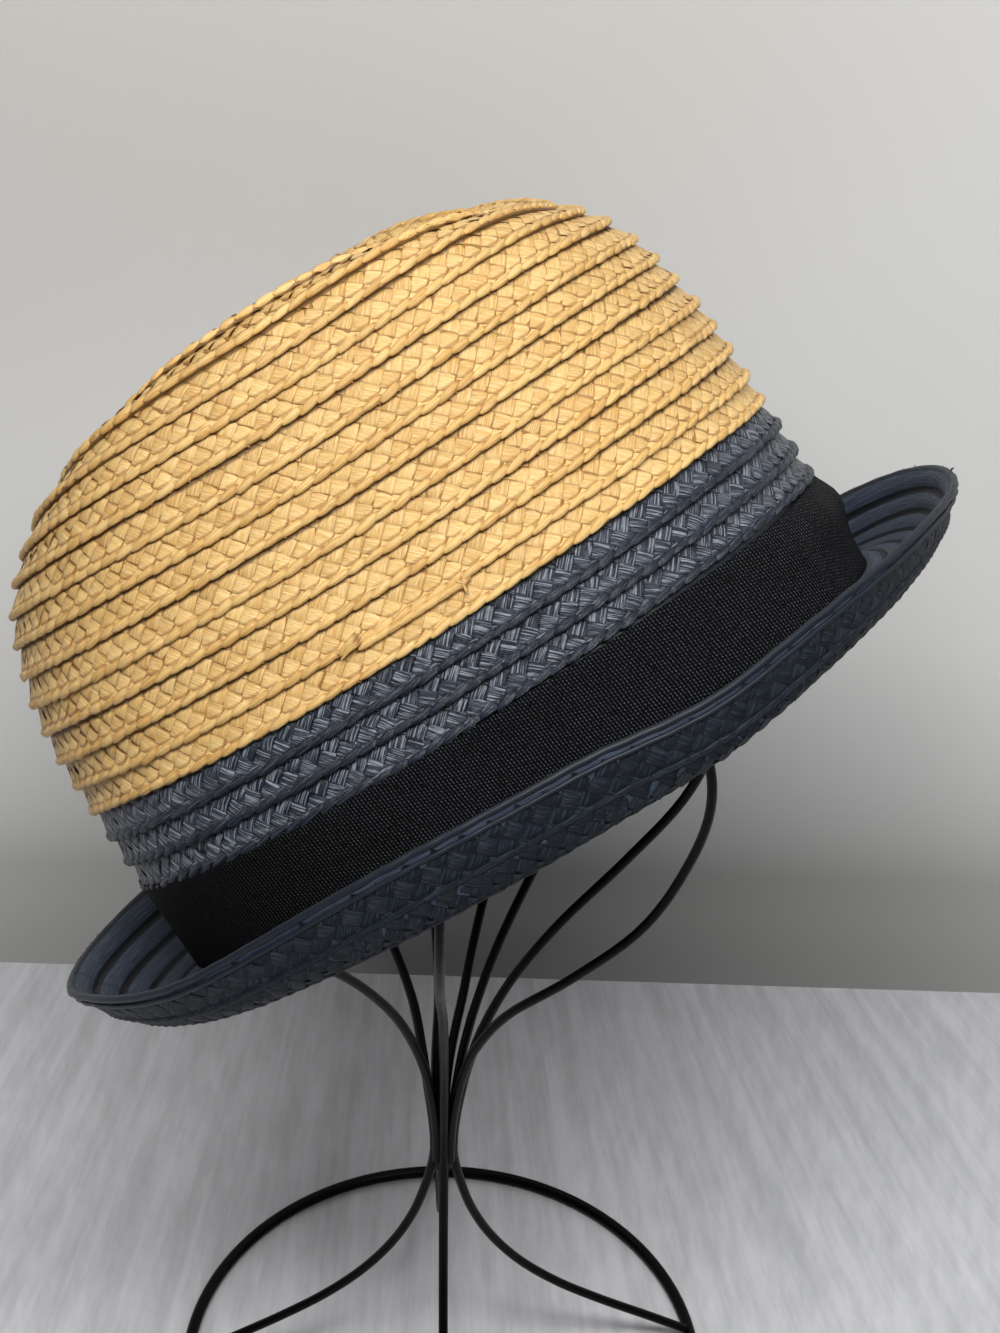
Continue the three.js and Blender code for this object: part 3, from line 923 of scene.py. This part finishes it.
# ---- the stand ----
wire = {
    "axis": (-8.1, -18.4),  # millimetres, where the stand's axis meets the table
    "ring": 73.5,
    "ringThick": 3.4,
    "fan": (106, 155),  # heights between which a rib swings to its own bearing
}
bentRib = {
    "number": 1,  # its place in ribBearings, from 0
    "until": 240,  # the height where this one has swung to its bearing
    "bulge": 8,  # how far it is bent out
    "height": 200,  # where that is
    "spread": 28,
}
ribRows = [
    (2.5, 97), (2.7, 106), (3.2, 113), (4.3, 122), (6.5, 135), (10.6, 150), (18, 168), (30, 188),
    (46.5, 210), (61, 232), (68, 254), (66.6, 273), (58.5, 290), (45.5, 305.5), (28.5, 318.5), (9.9, 325),
    (4, 325.6),
]
legRows = [
    (2.5, 101), (3.1, 94), (5, 84), (8.3, 72), (14, 59), (22.5, 46), (33.5, 34), (46.5, 23), (61, 12),
    (72.1, 3.3),
]
ribBearings = [(-90, -90.5), (-45, -16), (0, 7), (45, 43), (90, 66), (135, 100), (180, 141), (225, 220)]
legBearings = [12, 92, 179, -88]


def wireTree():
    made = Grower("wires", {"Thickness": 0.0026})
    net = made.net
    curve = net.node("GeometryNodeMeshToCurve", None, {"Mesh": made.size("Geometry")})
    section = {"Resolution": 14, "Radius": made.size("Thickness") / 2}
    ring = net.node("GeometryNodeCurvePrimitiveCircle", None, section)
    sweep = {"Curve": curve, "Profile Curve": ring, "Fill Caps": True}
    tube = net.node("GeometryNodeCurveToMesh", None, sweep)
    return made.painted(tube)


def wireFinish():
    made, net = newMaterial("blackEnamel")
    place = net.node("ShaderNodeTexCoord", out="Object")
    drift = net.noise(place, 90, 3.0, 0.6)
    worn = net.noise(place, 900, 2.0, 0.7)
    base = net.mix(worn.between(0.62, 0.72) * 0.4, (0.001, 0.001, 0.0014), (0.015, 0.015, 0.015))
    rough = net.node("ShaderNodeMapRange", None, {"Value": drift, "To Min": 0.22, "To Max": 0.42})
    shade = {"Base Color": base, "Roughness": rough, "Specular IOR Level": 0.1,
             "Normal": bumped(net, drift, 0.15, 0.0005)}
    finishMaterial(net, net.node("ShaderNodeBsdfPrincipled", None, shade))
    return made


def lineMesh(name, paths, closed=False):
    points, edges = [], []
    for path in paths:
        first = len(points)
        points += [tuple(p / 1000) for p in path]
        edges += [(first + i, first + i + 1) for i in range(len(path) - 1)]
        if closed:
            edges.append((len(points) - 1, first))
    mesh = bpy.data.meshes.new(name)
    mesh.from_pydata(points, edges, [])
    return mesh


def wirePath(rows, bearingAt, count, bulge=0):
    rows = [(radius + bulge * math.exp(-(((height - bentRib["height"]) / bentRib["spread"]) ** 2)), height)
            for radius, height in rows]
    radius, height = through(rows, np.linspace(0, 1, count)).T
    bearing = np.radians(bearingAt(height))
    x, y = wire["axis"]
    return np.stack([x + radius * np.cos(bearing), y + radius * np.sin(bearing), height], 1)


def swing(first, last, high=wire["fan"][1]):  # a bearing that eases from the first to the last
    def bearingAt(height):
        low = wire["fan"][0]
        share = np.clip((height - low) / (high - low), 0, 1)
        return first + (last - first) * share * share * (3 - 2 * share)
    return bearingAt


enamel = wireFinish()
wires = wireTree()
ribPaths = [wirePath(ribRows, swing(*bearings), 90) for bearings in ribBearings]
bentWay = swing(*ribBearings[bentRib["number"]], high=bentRib["until"])
ribPaths[bentRib["number"]] = wirePath(ribRows, bentWay, 90, bulge=bentRib["bulge"])
legPaths = [wirePath(legRows, swing(bearing, bearing), 50) for bearing in legBearings]
roundAngles = np.linspace(0, 2 * math.pi, 120, endpoint=False)
ringX = wire["axis"][0] + wire["ring"] * np.cos(roundAngles)
ringY = wire["axis"][1] + wire["ring"] * np.sin(roundAngles)
ringPath = np.stack([ringX, ringY, np.full(120, wire["ringThick"] / 2)], 1)
stemPath = np.array([[*wire["axis"], z] for z in (93.6, 95, 98, 101, 103)])
capPath = np.array([[*wire["axis"], z] for z in (324, 327)])
standPieces = {  # the wires' paths, their thickness in metres, and the solids that they stand for
    "standDome": (ribPaths, 0.0026, [f"stand_rib_{i}" for i in range(1, 9)]),
    "standLegs": (legPaths, 0.0026, [f"stand_leg_{side}" for side in ("right", "back", "left", "front")]),
    "standRing": ([ringPath], 0.0034, ["stand_base_ring"]),
    "standNeck": ([stemPath], 0.0056, ["stand_stem"]),
    "standCap": ([capPath], 0.018, ["stand_top_cap"]),
}
for name, (paths, thickness, nodes) in standPieces.items():
    lines = lineMesh(name + "Lines", paths, closed=name == "standRing")
    ride(grow(name, lines, wires, {"Thickness": thickness}, enamel), "black_wire", *nodes)
print("stand made")


# ---- the two cords along the brim's edge ----
rimAngles = np.linspace(-math.pi, math.pi, 500, endpoint=False)
for name, row, lift, size in (("rimPiping", 4.97, -0.05, 0.0019), ("innerPiping", 4.77, 0.7, 0.0013)):
    out = brim.axes(rimAngles, np.full_like(rimAngles, row))[2]
    uneven = lift + 0.12 * np.sin(rimAngles * 43) * np.sin(rimAngles * 17 + row)
    uneven = uneven + 0.08 * np.sin(rimAngles * 71 + row)
    path = inRoom(brim.at(rimAngles, row) + out * uneven[:, None]) * 1000
    line = lineMesh(name + "Line", [path], closed=True)
    ride(grow(name, line, wires, {"Thickness": size}, pipingStraw), "navy_straw")
print("rim piped")


# ---- loose threads at the brim's edge ----
def threadPath(angle, row, length, bearing, curl):  # millimetres and degrees, from the rim outward
    along, slope, out = (v[0] for v in brim.axes(np.array([angle]), np.array([row])))
    start = brim.at(np.array([angle]), np.array([row]))[0]
    reach = np.linspace(0, length, 7)[:, None]
    way = slope * math.cos(math.radians(bearing)) + along * math.sin(math.radians(bearing))
    return inRoom(start + way * (reach + 0.3) + (along * curl + out * curl * 0.5) * reach**2) * 1000


fuzz = [threadPath(angle, 4.93, dice.uniform(0.9, 1.7), dice.uniform(-70, 70), dice.uniform(-0.3, 0.3))
        for angle in dice.uniform(-math.pi, math.pi, 260)]
stray = [threadPath(0.03, 4.97, 3, -62, -0.08), threadPath(0.02, 4.97, 2.2, -40, 0.1)]
ride(grow("rimFuzz", lineMesh("fuzzLines", fuzz), wires, {"Thickness": 0.00013}, pipingStraw), "navy_straw")
strayMesh = lineMesh("strayLines", stray)
ride(grow("strayThread", strayMesh, wires, {"Thickness": 0.0003}, shadedNavyStraw), "navy_straw")
print("threads made")


# ---- the setting ----
setting = {
    "streaksFrom": (-0.024, 0.431),  # metres, where the cloth's streaks fan out from
    "cloth": ((0.45, 0.46, 0.485), (0.6, 0.61, 0.65)),
    # painted light: the wall's two colours, darker at the left and lighter at the right
    "wall": ((0.6, 0.61, 0.605), (0.86, 0.865, 0.86)),
    # painted light: a near-white for the wall's foot beside the hat's shadow
    "footLight": (0.95, 0.95, 0.94),
    "reach": 1.5,
    "tableFront": -1.6,
    "tableBack": (0.153, 0.118),  # at its left and right corner
    "wallAt": 0.18,
    "wallSpan": (-0.6, 1.6),
    "lens": 126.9,  # millimetres
    "cameraAt": (0.004346, -0.852975, 1.092831),
    "cameraTurn": (45.915, 1.285),  # degrees, up from straight down and rolled
}


def clothFinish():
    made, net = newMaterial("streakedCloth")
    x, y, _ = net.parts(net.node("ShaderNodeTexCoord", out="Object"))
    x, y = x - setting["streaksFrom"][0], setting["streaksFrom"][1] - y
    reach = (x * x + y * y) ** 0.5
    fan = (x / (y + 0.0001)).do("ARCTANGENT")
    broad = net.noise(net.vector(fan * 60, reach * 9, 0.0), 1.0, 3.0, 0.6)
    fine = net.noise(net.vector(fan * 190, reach * 30, 5.0), 1.0, 2.0, 0.6)
    weft = net.noise(net.vector(x * 220, y * 60, 9.0), 1.0, 2.0, 0.6)
    share = (broad * 0.5 + fine * 0.2 + weft * 0.3).between(0.33, 0.67)
    base = net.mix(share, *setting["cloth"])
    shade = {"Base Color": base, "Roughness": 0.95, "Specular IOR Level": 0.1,
             "Normal": bumped(net, fine, 0.3, 0.001)}
    finishMaterial(net, net.node("ShaderNodeBsdfPrincipled", None, shade))
    return made


def wallFinish():
    made, net = newMaterial("paleWall")
    x, y, z = net.parts(net.node("ShaderNodeTexCoord", out="Object"))
    blotch = net.noise(net.vector(x * 5, y, z * 5), 1.0, 2.0, 0.5)
    # painted light: the wall darker to the left and lighter to the right
    share = (x + blotch * 0.05).between(-0.35, 0.4)
    # painted light: the foot of the wall lightened to the left and right of the hat's shadow
    low = (1 - z.between(0.02, 0.32)) * abs(x - 0.07).between(0.05, 0.17)
    base = net.mix(low * 0.9, net.mix(share, *setting["wall"]), setting["footLight"])
    shade = {"Base Color": base, "Roughness": 0.9, "Specular IOR Level": 0.2}
    front = net.node("ShaderNodeBsdfPrincipled", None, shade)
    back = net.node("ShaderNodeNewGeometry", out="Backfacing")
    clear = net.node("ShaderNodeBsdfTransparent")
    finishMaterial(net, net.node("ShaderNodeMixShader", None, {0: back, 1: front, 2: clear}))
    return made


def sheetPlane(name, corners, material):
    mesh = bpy.data.meshes.new(name)
    mesh.from_pydata(corners, [], [(0, 1, 2, 3)])
    mesh.materials.append(material)
    plane = bpy.data.objects.new(name, mesh)
    bpy.context.scene.collection.objects.link(plane)
    return plane


side, front, back = setting["reach"], setting["tableFront"], setting["wallAt"]
(left, right), (foot, top) = setting["tableBack"], setting["wallSpan"]
tableCorners = [(-side, front, 0), (side, front, 0), (side, right, 0), (-side, left, 0)]
wallCorners = [(-side, back, foot), (side, back, foot), (side, back, top), (-side, back, top)]
sheetPlane("tableTop", tableCorners, clothFinish())
sheetPlane("backWall", wallCorners, wallFinish())

camera = bpy.data.objects.new("camera", bpy.data.cameras.new("camera"))
bpy.context.scene.collection.objects.link(camera)
camera.data.sensor_width = 36
camera.data.lens = setting["lens"]
camera.data.clip_end = 20
pitch, roll = (math.radians(angle) for angle in setting["cameraTurn"])
turned = Matrix.Rotation(pitch, 4, "X") @ Matrix.Rotation(roll, 4, "Z")
camera.matrix_world = Matrix.Translation(setting["cameraAt"]) @ turned
bpy.context.scene.camera = camera


def softLight(name, place, aim, widths, power, colour):
    data = bpy.data.lights.new(name, "AREA")
    data.shape = "RECTANGLE"
    data.size, data.size_y = widths
    data.energy, data.color = power, colour
    light = bpy.data.objects.new(name, data)
    light.location = place
    light.rotation_euler = (Vector(aim) - light.location).to_track_quat("-Z", "Y").to_euler()
    bpy.context.scene.collection.objects.link(light)


softLight("ceilingLight", (0.0, -0.6, 1.55), (0, 0, 0.25), (1, 0.3), 25, (1, 0.985, 0.955))
softLight("frontLight", (0.5, -1.2, 0.9), (0, 0, 0.25), (0.6, 0.6), 0.8, (1, 0.985, 0.955))
softLight("sideLight", (1.0, -0.3, 1.2), (0.5, 0.18, 0.5), (0.5, 0.5), 0.5, (0.98, 0.99, 1))
world = bpy.data.worlds.new("room")
world.use_nodes = True
world.node_tree.nodes["Background"].inputs[0].default_value = (0.75, 0.76, 0.78, 1)
world.node_tree.nodes["Background"].inputs[1].default_value = 0.07
bpy.context.scene.world = world
bpy.context.scene.view_settings.view_transform = "Standard"
